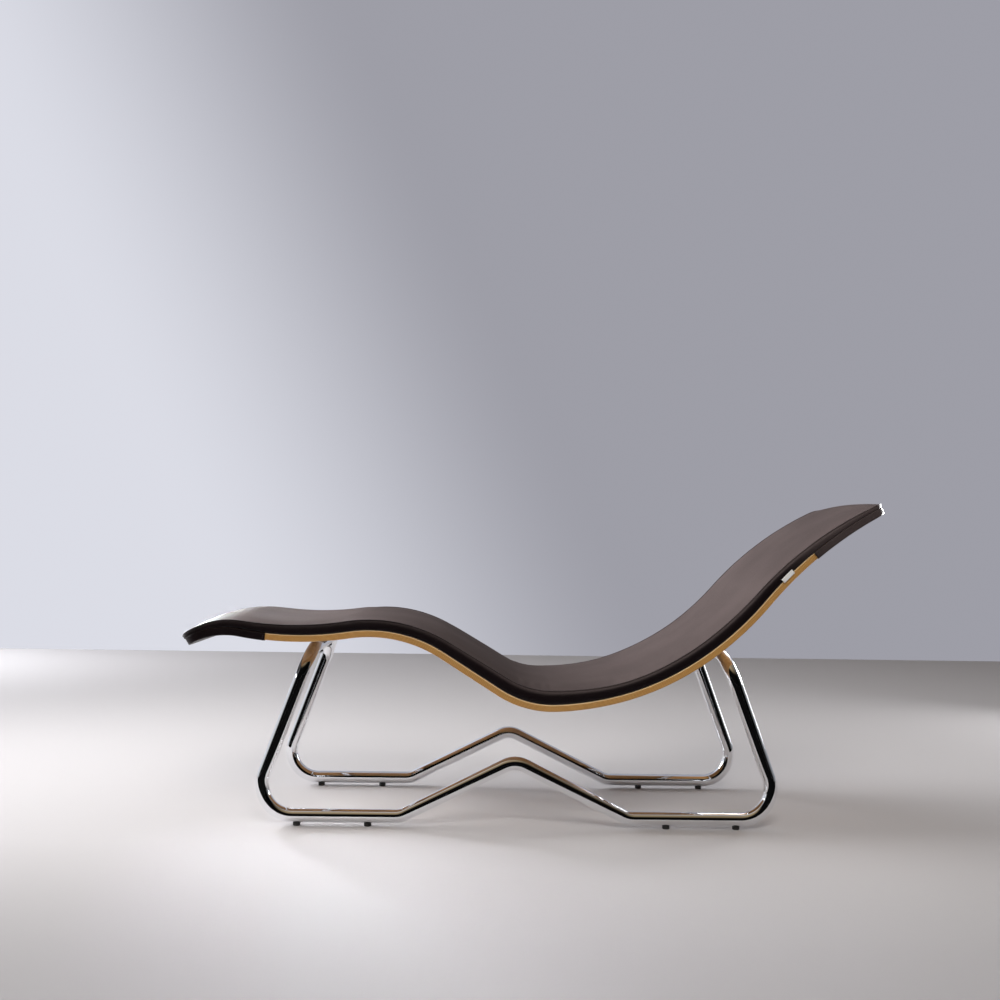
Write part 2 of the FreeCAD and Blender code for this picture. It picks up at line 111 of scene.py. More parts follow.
class Shading:
    """A node tree that signals are added to."""

    def __init__(self, tree):
        self.tree = tree

    def node(self, kind, settings=None, sockets=None, out=0):
        """A new node's output: the settings are made first, and then the sockets' values and links."""
        node = self.tree.nodes.new("ShaderNode" + kind)
        for key, value in (settings or {}).items():
            if key == "stops":
                ramp = node.color_ramp.elements
                while len(ramp) < len(value):
                    ramp.new(1)
                for stop, (place, colour) in zip(ramp, value):
                    stop.position, stop.color = place, (*colour, 1)
            else:
                setattr(node, key, value)
        feed(self.tree, node.inputs, sockets or {})
        return Signal(self.tree, node.outputs[out])

    def axis_of(self, vector, axis):
        """A vector's length along X, Y or Z, which are 0, 1 and 2."""
        return self.node("SeparateXYZ", sockets={"Vector": vector}, out=axis)

    def between(self, value, low, high, start=0, end=1):
        """An eased climb from start to end while the value goes from low to high."""
        return self.node("MapRange", {"interpolation_type": "SMOOTHSTEP"},
                         {"Value": value, "From Min": low, "From Max": high, "To Min": start, "To Max": end})

    def blend(self, share, first, second):
        """The first colour where the share is 0, and the second where it is 1."""
        return self.node("Mix", {"data_type": "RGBA"}, {0: share, 6: first, 7: second}, out=2)


class Finish(Shading):
    """A procedural material on one surface shader."""

    def __init__(self, name, **surface):
        self.material = bpy.data.materials.new(name)
        self.material.use_nodes = True
        super().__init__(self.material.node_tree)
        self.surface = self.tree.nodes["Principled BSDF"]
        self.set(**surface)

    def set(self, **values):
        """Sets the surface's sockets, each named with _ for a space."""
        feed(self.tree, self.surface.inputs, {key.replace("_", " "): value for key, value in values.items()})

    def place(self, stretch=(1, 1, 1), source="Object"):
        """The piece's own coordinates, or those of its map, stretched."""
        spot = self.node("TexCoord", out=source)
        return self.node("Mapping", sockets={"Vector": spot, "Scale": stretch})

    def noise(self, spot, scale, detail=4, rough=0.5):
        """Cloudy noise, with about as many clouds to a metre as the scale says."""
        return self.node("TexNoise", sockets={"Vector": spot, "Scale": scale, "Detail": detail,
                                              "Roughness": rough})

    def ramp(self, value, stops):
        """The colour at the value's place on a ramp."""
        return self.node("ValToRGB", {"stops": stops}, {"Fac": value})

    def bump(self, height, strength, distance):
        """A normal tilted as if the surface stood up by the height, a height of 1 being the distance."""
        return self.node("Bump", sockets={"Height": height, "Strength": strength, "Distance": distance})

    def seen_as(self, colour):
        """Camera rays and reflections meet the surface at this plain colour, whatever light falls on it."""
        seen = self.node("LightPath", out="Is Camera Ray") + self.node("LightPath", out="Is Glossy Ray")
        lit = Signal(self.tree, self.surface.outputs[0])
        glow = self.node("Emission", sockets={"Color": colour})
        mixed = self.node("MixShader", sockets={0: seen, 1: lit, 2: glow})
        self.tree.links.new(mixed.socket, self.tree.nodes["Material Output"].inputs[0])


def piece_of(name, points, faces, finish, uv=None):
    """A mesh piece from its points and its faces, with a map value for each point where that is given."""
    mesh = bpy.data.meshes.new(name)
    mesh.from_pydata(np.asarray(points).tolist(), [], [list(map(int, face)) for face in faces])
    mesh.materials.append(finish.material)
    mesh.polygons.foreach_set("use_smooth", [True] * len(mesh.polygons))
    if uv is not None:
        corners = np.empty(len(mesh.loops), int)
        mesh.loops.foreach_get("vertex_index", corners)
        mesh.uv_layers.new(name="map").data.foreach_set("uv", np.asarray(uv)[corners].ravel())
    mesh.update()
    piece = bpy.data.objects.new(name, mesh)
    scene.collection.objects.link(piece)
    return piece


WALL_PLACE = 4.57
ROOM_REACH = 14
PAINTED_LIT_WALL = (0.71, 0.72, 0.79, 1)
SHADED_WALL = (0.34, 0.34, 0.385, 1)
SHADED_NEAR_FLOOR = (0.33, 0.319, 0.327, 1)
FAR_FLOOR = (0.47, 0.454, 0.463, 1)

wall_finish = Finish("pale_wall", Base_Color=(0.5, 0.5, 0.55, 1), Roughness=0.9)
wall_spot = wall_finish.place()
wall_slant = wall_finish.axis_of(wall_spot, 0) + wall_finish.axis_of(wall_spot, 2) * 0.5
# The wall's colour is painted light and shade that glows: lighter towards the left and the floor, darker
# towards the right and up.
wall_finish.seen_as(wall_finish.blend(wall_finish.between(wall_slant, -1.7, 1.2), PAINTED_LIT_WALL, SHADED_WALL))
# The floor's colour is painted shade, darker towards the camera.
floor_finish = Finish("pale_floor", Roughness=0.9)
floor_depth = floor_finish.axis_of(floor_finish.place(), 1)
floor_finish.set(Base_Color=floor_finish.blend(floor_finish.between(floor_depth, -1.5, -0.4),
                                               SHADED_NEAR_FLOOR, FAR_FLOOR))
floor_corners = [(-ROOM_REACH, -ROOM_REACH, 0), (ROOM_REACH, -ROOM_REACH, 0),
                 (ROOM_REACH, WALL_PLACE, 0), (-ROOM_REACH, WALL_PLACE, 0)]
wall_corners = [(-ROOM_REACH, WALL_PLACE, 0), (ROOM_REACH, WALL_PLACE, 0),
                (ROOM_REACH, WALL_PLACE, ROOM_REACH), (-ROOM_REACH, WALL_PLACE, ROOM_REACH)]
floor = piece_of("floor", floor_corners, [(0, 1, 2, 3)], floor_finish)
wall = piece_of("wall", wall_corners, [(0, 1, 2, 3)], wall_finish)


# The light: a key lamp high behind the camera, a soft one above the foot end, a window-like one beyond it,
# and three small ones that edge the foot, the back and the head's corner. The dome is grey, dark behind the
# camera and tan above it, with a black card on the floor: in reflections these draw the chrome's stripes.
def soft_lamp(name, spot, aim, size, power, colour=(1, 1, 1), glossy=True, spread=180):
    """A rectangular lamp at a spot, turned to its aim, with its spread in degrees."""
    lamp = bpy.data.lights.new(name, "AREA")
    lamp.shape, lamp.size, lamp.size_y, lamp.energy, lamp.color = "RECTANGLE", *size, power, colour
    lamp.spread = math.radians(spread)
    holder = bpy.data.objects.new(name, lamp)
    holder.location = spot
    holder.rotation_euler = (Vector(aim) - Vector(spot)).to_track_quat("-Z", "Y").to_euler()
    holder.visible_camera, holder.visible_glossy = False, glossy
    scene.collection.objects.link(holder)


soft_lamp("key", (0.2, -6.2, 5.9), (0.1, 0, 0.4), (3.7, 3.7), 350, (1, 0.97, 0.93), glossy=False)
soft_lamp("overhead", (-3.3, 0.5, 2.0), (0.4, 0, 0.45), (2.2, 1.8), 68, spread=105)
soft_lamp("window", (-4.6, 3.6, 2.1), (-0.3, 0.0, 0.5), (2.1, 2.6), 255, (0.95, 0.975, 1), glossy=False)
soft_lamp("rim", (-1.55, 1.0, 0.78), (-0.86, -0.1, 0.46), (0.45, 0.25), 3.0, (0.92, 0.96, 1), spread=28)
soft_lamp("side_strip", (2.7, 1.7, 0.9), (0.6, -0.1, 0.6), (0.45, 1.2), 12)
soft_lamp("corner", (1.8, 0.55, 0.86), (0.9, -0.28, 0.82), (0.6, 0.5), 7, spread=60)

BLACK = (0.003, 0.003, 0.003, 1)
DOME_GREY = (0.57, 0.58, 0.60, 1)
DOME_TAN = (0.33, 0.25, 0.15, 1)
HEAD_SIDE_DIMMED = 0.65
CARD_REACH = 9
CARD_NEAR = -0.5
CARD_FAR = -12
CARD_LIFT = 0.001

dome = bpy.data.worlds.new("dome")
dome.use_nodes = True
scene.world = dome
sky = Shading(dome.node_tree)
direction = sky.node("TexCoord", out="Generated")
head_side, upward = sky.axis_of(direction, 0), sky.axis_of(direction, 2)
toward_camera = sky.axis_of(direction, 1) * -1
behind_camera = sky.blend(sky.between(upward, 0.5, 0.8), BLACK, DOME_TAN)
feed(sky.tree, sky.tree.nodes["Background"].inputs, {
    "Color": sky.blend(sky.between(toward_camera, 0.10, 0.40), DOME_GREY, behind_camera),
    "Strength": 1 - sky.between(head_side, -0.2, 0.7) * HEAD_SIDE_DIMMED})

card_finish = Finish("black_card", Base_Color=BLACK, Roughness=1.0, Specular_IOR_Level=0.0)
card_corners = [(-CARD_REACH, CARD_FAR, CARD_LIFT), (CARD_REACH, CARD_FAR, CARD_LIFT),
                (CARD_REACH, CARD_NEAR, CARD_LIFT), (-CARD_REACH, CARD_NEAR, CARD_LIFT)]
black_card = piece_of("black_card", card_corners, [(0, 1, 2, 3)], card_finish)
# The card is seen only in reflections, never by the camera, by diffuse light or in shadows: a painted dark
# reflection.
black_card.visible_camera = black_card.visible_diffuse = black_card.visible_shadow = False


# The side frames and cross tubes are drawn steel tube, bent cold, polished and chromed; inner sleeves hold
# their joints. The plate is a mirror with faint, broad unevenness from polishing along the tube.
chrome = Finish("chrome_plate", Base_Color=(0.90, 0.91, 0.93, 1), Metallic=1.0)
smear = chrome.noise(chrome.place(), 9, 3)
chrome.set(Roughness=chrome.between(smear, 0.35, 0.75, 0.015, 0.045),
           Normal=chrome.bump(chrome.noise(chrome.place(), 40, 2), 0.05, 0.0004))


def dress(finish, *nodes):
    """Gives carried-over nodes their finish."""
    for name in nodes:
        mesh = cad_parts[name].data
        mesh.materials.clear()
        mesh.materials.append(finish.material)


dress(chrome, "left_frame_tube", "right_frame_tube", "front_cross_tube", "rear_cross_tube")
plain_steel = Finish("drawn_steel", Base_Color=(0.42, 0.42, 0.43, 1), Metallic=1.0)
draw_marks = plain_steel.noise(plain_steel.place((4, 60, 60)), 12)
plain_steel.set(Roughness=plain_steel.between(draw_marks, 0.3, 0.7, 0.3, 0.5))
dress(plain_steel, "joint_sleeves")


# The floor glides are moulded rubber feet, two under each flat of the side frames. They are matt black, with
# a little dust in their grain.
glide_rubber = Finish("glide_rubber")
dust = glide_rubber.noise(glide_rubber.place(), 400, 5)
glide_rubber.set(Base_Color=glide_rubber.ramp(dust, [(0.35, (0.010, 0.010, 0.010)),
                                                     (0.8, (0.035, 0.034, 0.033))]),
                 Roughness=glide_rubber.between(dust, 0.3, 0.7, 0.5, 0.75),
                 Normal=glide_rubber.bump(dust, 0.25, 0.0003))
dress(glide_rubber, *[f"{side}_{spot}_glide" for side in ("left", "right")
                      for spot in ("front_outer", "front_inner", "rear_inner", "rear_outer")])


# The saddles and cupped washers are black nylon with a fine spark-eroded grain; the bolts and nuts that go
# through them are zinc plated, with the plate's cloudy passivation.
nylon = Finish("black_nylon", Base_Color=(0.018, 0.018, 0.019, 1))
pits = nylon.noise(nylon.place(), 1500, 3)
nylon.set(Roughness=nylon.between(pits, 0.3, 0.7, 0.45, 0.62), Normal=nylon.bump(pits, 0.3, 0.0002))
dress(nylon, "front_saddles", "rear_saddles", "saddle_washers")
zinc = Finish("zinc_plate", Metallic=1.0)
cloud = zinc.noise(zinc.place(), 120, 4)
zinc.set(Base_Color=zinc.ramp(cloud, [(0.3, (0.50, 0.50, 0.52)), (0.7, (0.64, 0.65, 0.67))]),
         Roughness=zinc.between(cloud, 0.3, 0.7, 0.28, 0.42))
dress(zinc, "shell_bolts", "tee_nuts")


# The shell is moulded plywood, thirteen veneers pressed into a lazy S and lacquered. Its edge shows the
# veneers in stripes and its faces show straight beech grain along the length. The edges are eased.
FOOT_TIP_HEIGHT = 0.471
FOOT_TIP_SLOPE = math.radians(33.0)
SHELL_STRETCHES = (
    ("toe crest", 0.194, -43.3),
    ("calf hollow", 0.823, 19.3),
    ("knee crest", 0.349, -41.1),
    ("thigh run", 0.172, 0),
    ("seat hollow", 0.258, 34.9),
    ("back hollow", 0.762, 47.5),
    ("head crest", 1.029, -22.3),
)
SEAT_WIDTH = 0.65
HEAD_WIDTH_SHARE = 0.908
TAPER_START = 1.163
TAPER_LENGTH = 0.40
CORNER_RADIUS = 0.036
CORNER_PLACES = 10
LEAST_STEP = 0.0006
PLY_FACE = 0.009
PLY_INSET = 0.005
PLY_ARRIS = 0.0028
PLY_PLACES = 300
ARRIS_POINTS, EDGE_POINTS, FACE_POINTS = 5, 12, 31
VENEER = 0.0014
TOP_HIGHLIGHT_BAND, TOP_HIGHLIGHT_FADED = 0.0022, 0.0034
EDGE_FADE = 0.0004
PAINTED_ARRIS_HIGHLIGHT = (0.86, 0.62, 0.34, 1)
DARK_FLECK = (0.24, 0.115, 0.045, 1)


def walk(x, z, heading, curvature, length):
    """The point and heading after a length along an arc, or a straight where the curvature is nought."""
    if curvature == 0:
        return x + length * np.cos(heading), z + length * np.sin(heading), heading + 0 * length
    end = heading + curvature * length
    return (x + (np.sin(end) - np.sin(heading)) / curvature,
            z - (np.cos(end) - np.cos(heading)) / curvature, end)


shell_table = []
start, x, z, heading = 0.0, 0.0, FOOT_TIP_HEIGHT, FOOT_TIP_SLOPE
for name, size, angle in SHELL_STRETCHES:
    length = size * abs(math.radians(angle)) if angle else size
    curvature = math.copysign(1 / size, angle) if angle else 0
    shell_table.append((start, x, z, heading, curvature))
    x, z, heading = walk(x, z, heading, curvature, length)
    start += length
SHELL_LENGTH = start


def shell_line(place):
    """Point and heading of the plywood's middle line at each place along it. The line is a row of stretches:
    arcs, each with its radius in metres and its turn in degrees, and one straight with its length."""
    place = np.asarray(place, float)
    x, z, heading = np.zeros_like(place), np.zeros_like(place), np.zeros_like(place)
    for start, *first in shell_table:
        here = (place >= start) | (start == 0)
        x[here], z[here], heading[here] = walk(*first, place[here] - start)
    return x, z, heading


def on_shell(place, across, height):
    """Points at places along the shell line, across it, and above it along its normal."""
    place, across, height = np.broadcast_arrays(place, across, height)
    x, z, heading = shell_line(place)
    return np.stack([x - SHELL_MIDDLE - height * np.sin(heading), across, z + height * np.cos(heading)], -1)


def half_width(place, inset):
    """Half the plan outline's width, an inset inside it: tapered to the head, with quarter-circle corners."""
    t = np.clip((place - TAPER_START) / TAPER_LENGTH, 0, 1)
    full = SEAT_WIDTH / 2 * (1 - (1 - HEAD_WIDTH_SHARE) * t * t * (3 - 2 * t)) - inset
    corner = CORNER_RADIUS - inset
    short = np.clip(corner - (np.minimum(place, SHELL_LENGTH - place) - inset), 0, corner)
    return full - corner + np.sqrt(corner ** 2 - short ** 2)


def along(start, end, count):
    """Places from start to end, closer together where the plan's corners turn."""
    even = np.linspace(start, end, count)
    near = CORNER_RADIUS * (1 - np.cos(np.linspace(0, math.pi / 2, CORNER_PLACES)))
    extra = np.concatenate([near, SHELL_LENGTH - near])
    marks = np.unique(np.round(np.concatenate([even, extra[(extra > start) & (extra < end)]]), 5))
    return marks[np.concatenate([[True], np.diff(marks) > LEAST_STEP])]


def loops_joined(name, loops, finish, uv=None):
    """A closed piece from loops of points, shape places x loop x 3: quads join each loop to the next, and one
    flat face closes each end."""
    rows, columns = loops.shape[:2]
    index = np.arange(rows * columns).reshape(rows, columns)
    ahead = np.roll(index, -1, 1)
    quads = np.stack([index[:-1], ahead[:-1], ahead[1:], index[1:]], -1).reshape(-1, 4)
    ends = [index[0][::-1].tolist(), index[-1].tolist()]
    return piece_of(name, loops.reshape(-1, 3), quads.tolist() + ends, finish, uv)


box_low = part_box("plywood_shell")[0]
foot_x, foot_z, foot_heading = shell_line(np.array([PLY_INSET]))
SHELL_MIDDLE = float(foot_x[0] - PLY_FACE * math.sin(foot_heading[0])) - box_low.x


def ply_section(place):
    """Across and height, counted round a rectangle whose corners are eased by quarter circles."""
    half, face = half_width(place, PLY_INSET), PLY_FACE
    turn = np.linspace(0, math.pi / 2, ARRIS_POINTS)
    by_sine, by_cosine = PLY_ARRIS * (1 - np.sin(turn)), PLY_ARRIS * (1 - np.cos(turn))
    rise = np.linspace(-face + PLY_ARRIS, face - PLY_ARRIS, EDGE_POINTS)[1:-1]
    side_height = np.concatenate([-face + by_cosine, rise, face - by_sine])
    side_pull = np.concatenate([by_sine, 0 * rise, by_cosine])
    spread = np.linspace(1, -1, FACE_POINTS)[1:-1]
    flat = (half - PLY_ARRIS) * spread
    across = np.concatenate([half - side_pull, flat, -half + side_pull[::-1], -flat], 1)
    height = np.concatenate([side_height, face + 0 * spread, side_height[::-1], -face + 0 * spread])
    return across, height + 0 * half


ply = Finish("lacquered_plywood", Roughness=0.36, Coat_Roughness=0.12)
ply_map = ply.place(source="UV")
run, depth = ply.axis_of(ply_map, 0), ply.axis_of(ply_map, 1)
breadth = ply.axis_of(ply.place(), 1)
waver = ply.noise(ply.place((14, 1, 1), "UV"), 3, 3)
stripe = (depth * (math.pi / VENEER) + waver * 1.6).sine()
fibre_spot = ply.node("CombineXYZ", sockets={"X": run * 5, "Y": breadth * 260, "Z": depth * 260})
fibre = ply.noise(fibre_spot, 3.2, 6, 0.6)
band = ply.noise(ply.node("CombineXYZ", sockets={"X": run * 1.6, "Y": breadth * 26}), 3, 5, 0.6)
fleck = ply.noise(ply.place((60, 900, 900)), 2.2, 2)
edge_wood = ply.ramp(ply.between(stripe, -0.9, 0.9), [(0.0, (0.28, 0.112, 0.022)),
                                                      (0.45, (0.56, 0.280, 0.075)),
                                                      (1.0, (0.74, 0.440, 0.150))])
# The top few millimetres of the plywood's edge are painted pale: a painted highlight on the upper arris.
edge_wood = ply.blend(ply.between(depth, PLY_FACE - TOP_HIGHLIGHT_FADED, PLY_FACE - TOP_HIGHLIGHT_BAND),
                      edge_wood, PAINTED_ARRIS_HIGHLIGHT)
face_wood = ply.ramp(fibre * 0.45 + band * 0.55, [(0.33, (0.21, 0.092, 0.024)),
                                                  (0.5, (0.32, 0.155, 0.044)),
                                                  (0.66, (0.43, 0.232, 0.080))])
on_edge = ply.between(abs(depth), PLY_FACE - EDGE_FADE, PLY_FACE, 1, 0)
wood = ply.blend(on_edge, face_wood, edge_wood)
ply.set(Base_Color=ply.blend(ply.between(fleck, 0.62, 0.75, 0, 0.35), wood, DARK_FLECK),
        Coat_Weight=ply.between(on_edge, 0, 1, 0.4, 0.9), Normal=ply.bump(fibre, 0.12, 0.0004))

ply_places = along(PLY_INSET, SHELL_LENGTH - PLY_INSET, PLY_PLACES)[:, None]
across, height = ply_section(ply_places)
plywood = loops_joined("plywood", on_shell(ply_places, across, height), ply,
                       np.stack([ply_places + 0 * height, height], -1).reshape(-1, 2))
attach(plywood, "root")
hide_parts("plywood_shell")


# The hook-and-loop tapes are four strips across the shell, half glued to the plywood and half sewn under
# the pad; only their edges could ever be seen.
tape_pile = Finish("tape_pile", Base_Color=(0.012, 0.012, 0.013, 1), Roughness=0.85)
loops = tape_pile.node("TexVoronoi", sockets={"Vector": tape_pile.place(), "Scale": 900})
tape_pile.set(Normal=tape_pile.bump(loops, 0.8, 0.0006))
dress(tape_pile, "hook_tapes", "loop_tapes")


# The pad is one slab of foam in a leather cover: a top panel over the crown, a rounded boxing down each
# side and a strip across each end, sewn along every edge. The cover is blown out a little between its seams
# by a short cloth simulation, and is then taken apart into its panels, each given the leather's thickness.
LEATHER = 0.0016
SOFT_GAP = 0.0003
PAD_FOOT = PLY_FACE + SOFT_GAP
SIDE_RADIUS_SHARE = 0.74
SIDE_CENTRE_SHARE = 0.45
CROWN = 0.008
FOOT_CROWN = 0.0025
FOOT_CROWN_REACH = 0.14
PAD_HEIGHTS = ((0, 0.0095), (0.06, 0.0185), (0.18, 0.0245), (0.30, 0.026), (0.48, 0.034), (0.58, 0.028),
               (0.68, 0.029), (0.78, 0.0285), (0.90, 0.0195), (1, 0.008))
END_STACK = LEATHER + SOFT_GAP
FOOT_ROUNDING = 0.012
HEAD_ROUNDING = 0.026
ROLL_DEPTH = 0.0072
ROWS, COLUMNS, LAYERS = 220, 54, 8
END_ROWS = [0, 0.03, 0.97, 1]
END_ROWS_REACH = 0.04
COVER_PRESSURE = 4.0
COVER_STEPS = 20
MOST_SWELL = 0.005


def pad_edge(place):
    """The pad's height at its seam, a smooth curve through a table of shares of the shell's length: cubic
    pieces whose slope at each entry is that of the line between its neighbours."""
    share, value = np.array(PAD_HEIGHTS).T
    share = share * SHELL_LENGTH
    k = np.arange(len(share))
    before, after = np.maximum(k - 1, 0), np.minimum(k + 1, len(share) - 1)
    slope = (value[after] - value[before]) / (share[after] - share[before])
    i = np.clip(np.searchsorted(share, place, "right") - 1, 0, len(share) - 2)
    step, t = share[i + 1] - share[i], np.clip((place - share[i]) / (share[i + 1] - share[i]), 0, 1)
    return (value[i] + step * slope[i] * t * (1 - t) ** 2 - step * slope[i + 1] * t * t * (1 - t)
            + (value[i + 1] - value[i]) * t * t * (3 - 2 * t))


def side_across(place, skin, height):
    """Where the rounded side stands at a height: a circle that is fullest below the middle of the side."""
    tall = pad_edge(place)
    radius = SIDE_RADIUS_SHARE * tall - skin
    rise = height - PAD_FOOT - SIDE_CENTRE_SHARE * tall
    return half_width(place, skin) - radius + np.sqrt(np.maximum(radius ** 2 - rise ** 2, 0))


def end_roll(place):
    """How far the top's edge has rolled down: a quarter ellipse over each end, longer at the head."""
    foot_near = np.clip(1 - place / FOOT_ROUNDING, 0, 1)
    head_near = np.clip(1 - (SHELL_LENGTH - place) / HEAD_ROUNDING, 0, 1)
    return ROLL_DEPTH * (1 - np.sqrt(1 - foot_near ** 2)) + ROLL_DEPTH * (1 - np.sqrt(1 - head_near ** 2))


def pad_point(place, b, c, skin=0.0, foot=PAD_FOOT):
    """A point of the pad: b from -1 to 1 across, c from 0 to 1 up from its foot to the crown. The crown is
    a parabola across, a little higher at the foot, and its top rolls down over both ends."""
    place, b, c = np.broadcast_arrays(place, b, c)
    level = foot + c * (PAD_FOOT + pad_edge(place) - skin - foot)
    crown = CROWN + FOOT_CROWN * np.exp(-(place / FOOT_CROWN_REACH) ** 2)
    height = level + c * (crown * (1 - b ** 2) - end_roll(place))
    return on_shell(place, b * side_across(place, skin, level), height)


def grid_quads(index):
    """The faces between neighbours of a grid of points, each counted round its four corners."""
    return np.stack([index[:-1, :-1], index[1:, :-1], index[1:, 1:], index[:-1, 1:]], -1).reshape(-1, 4)


def lattice_skin(counts, shape):
    """The outer faces of a lattice of points, welded: counts are its cells in three directions and shape
    gives the place of lattice coordinates from 0 to 1. Returns points, faces, each point's coordinates, and
    the point at each place of the lattice."""
    size = [n + 1 for n in counts]
    grid = np.stack(np.meshgrid(*[np.arange(n) for n in size], indexing="ij"), -1)
    outer = ((grid == 0) | (grid == np.array(counts))).any(-1)
    index = np.full(size, -1)
    index[outer] = np.arange(outer.sum())
    faces = []
    for axis in range(3):
        for end in (0, -1):
            quads = grid_quads(index.take(end, axis))
            flip = (end == 0) == (axis != 1)
            faces.append(quads[:, ::-1] if flip else quads)
    share = grid[outer] / np.array(counts)
    return shape(share), np.concatenate(faces), share, index


def rows_to_places(rows, stack):
    """Places for shares of the rows: even along the pad, but closer over each end, a stack of layers inside
    the shell's ends."""
    return np.interp(rows, END_ROWS, [stack, END_ROWS_REACH,
                                      SHELL_LENGTH - END_ROWS_REACH, SHELL_LENGTH - stack])


pad_rows = rows_to_places(np.linspace(0, 1, ROWS + 1), END_STACK)


def cover_shape(share):
    """The cover's outside, from shares of its rows, columns and layers."""
    place = np.interp(share[:, 0], np.linspace(0, 1, ROWS + 1), pad_rows)
    return pad_point(place, share[:, 1] * 2 - 1, share[:, 2])


def hide(finish):
    """A hide's pores, as a signal, and its normal: rounded cells of grain with the pores in them."""
    grain = finish.node("TexVoronoi", {"feature": "SMOOTH_F1"}, {"Vector": finish.place(), "Scale": 620})
    pores = finish.noise(finish.place(), 240, 5)
    return pores, finish.bump(grain * 0.7 + pores * 0.5, 0.35, 0.0006)


leather = Finish("dark_leather", Specular_IOR_Level=0.03, Coat_Roughness=0.40)
pores, hide_normal = hide(leather)
cast = leather.noise(leather.place(), 6, 3)
along_top = leather.axis_of(leather.place(source="UV"), 0)
leather.set(Base_Color=leather.ramp(cast, [(0.3, (0.076, 0.0592, 0.058)), (0.7, (0.095, 0.0744, 0.0725))]),
            Roughness=leather.between(pores, 0.3, 0.7, 0.66, 0.76),
            Coat_Weight=leather.between(along_top, 0.045, 0.078, 0.6, 0),
            Normal=hide_normal)

# The sides' leather is near black, darker than the top's partly as painted shade. Its lighter tone is painted
# light: along the upper edge of each side, growing towards the head, and over everything near the head.
side_leather = Finish("black_leather", Specular_IOR_Level=0.25)
pores, hide_normal = hide(side_leather)
side_map = side_leather.place(source="UV")
along_side, up_side = side_leather.axis_of(side_map, 0), side_leather.axis_of(side_map, 1)
black = side_leather.ramp(pores, [(0.3, (0.007, 0.004, 0.005)), (0.7, (0.012, 0.008, 0.009))])
painted_light_tone = side_leather.ramp(pores, [(0.3, (0.062, 0.047, 0.047)), (0.7, (0.078, 0.061, 0.061))])
painted_light_share = (side_leather.between(up_side, 0.62, 1.0) * side_leather.between(along_side, 0.12, 0.5, 0.25, 0.9)
       + side_leather.between(along_side, 0.80, 0.93, 0, 0.8))
side_leather.set(Base_Color=side_leather.blend(side_leather.between(painted_light_share, 0, 1), black, painted_light_tone),
                 Roughness=side_leather.between(pores, 0.3, 0.7, 0.34, 0.46),
                 Normal=hide_normal)


def unit(vectors):
    """Vectors shortened or lengthened to 1."""
    return vectors / np.maximum(np.linalg.norm(vectors, axis=-1, keepdims=True), 1e-12)


def blown_out(points, faces, held):
    """The points of a closed skin after a short cloth simulation under pressure, held where told."""
    skin = piece_of("cover_before_sewing", points, faces, leather)
    group = skin.vertex_groups.new(name="held")
    for share in np.unique(held[held > 0]):
        group.add(np.flatnonzero(held == share).tolist(), float(share), "REPLACE")
    cloth = skin.modifiers.new("cloth", "CLOTH")
    cloth.settings.quality = 4
    cloth.settings.mass = 0.4
    cloth.settings.tension_stiffness = cloth.settings.compression_stiffness = 12
    cloth.settings.shear_stiffness = 6
    cloth.settings.bending_stiffness = 0.6
    cloth.settings.vertex_group_mass = "held"
    cloth.settings.use_pressure = True
    cloth.settings.uniform_pressure_force = COVER_PRESSURE
    cloth.settings.effector_weights.gravity = 0
    cloth.collision_settings.use_self_collision = False
    for step in range(1, COVER_STEPS + 1):
        scene.frame_set(step)
    done = skin.evaluated_get(bpy.context.evaluated_depsgraph_get()).to_mesh()
    moved = np.empty(len(points) * 3)
    done.vertices.foreach_get("co", moved)
    shift = moved.reshape(-1, 3) - points
    scene.frame_set(1)
    bpy.data.objects.remove(skin)
    corner = points[faces]
    tilt = np.cross(corner[:, 2] - corner[:, 0], corner[:, 3] - corner[:, 1])
    normal = np.zeros_like(points)
    for k in range(4):
        np.add.at(normal, faces[:, k], tilt)
    normal = unit(normal)
    return points + normal * np.clip((shift * normal).sum(1, keepdims=True), 0, MOST_SWELL)


cover_points, cover_faces, cover_share, cover_index = lattice_skin((ROWS, COLUMNS, LAYERS), cover_shape)
at_edge = ((cover_share == 0) | (cover_share == 1)).sum(1) > 1
held = np.where(at_edge | (cover_share[:, 2] == 0), 1.0, 0.0)
cover_points = blown_out(cover_points, cover_faces, held)


def walled(piece, thickness, side=-1):
    """Gives a sheet its thickness, on the inside of its faces or, where the side is 1, on the outside."""
    wall = piece.modifiers.new("thickness", "SOLIDIFY")
    wall.thickness, wall.offset = thickness, side


def panel(name, node, axis, end, finish):
    """One panel of the cover, a leather thick: the faces that lie at one end of one axis of its lattice. Its
    map holds the shares of the way along the pad and up it, by which painted light is laid on the sides'
    leather."""
    wanted = (cover_share[:, axis] == end)[cover_faces].all(1)
    used, faces = np.unique(cover_faces[wanted], return_inverse=True)
    piece = piece_of(name, cover_points[used], faces.reshape(-1, 4), finish, cover_share[used][:, ::2])
    walled(piece, LEATHER)
    smooth = piece.modifiers.new("smooth", "SUBSURF")
    smooth.levels = smooth.render_levels = 1
    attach(piece, "root")
    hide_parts(node)


panel("top_panel_leather", "top_panel", 2, 1, leather)
panel("left_side_leather", "left_side_panel", 1, 0, side_leather)
panel("right_side_leather", "right_side_panel", 1, 1, side_leather)


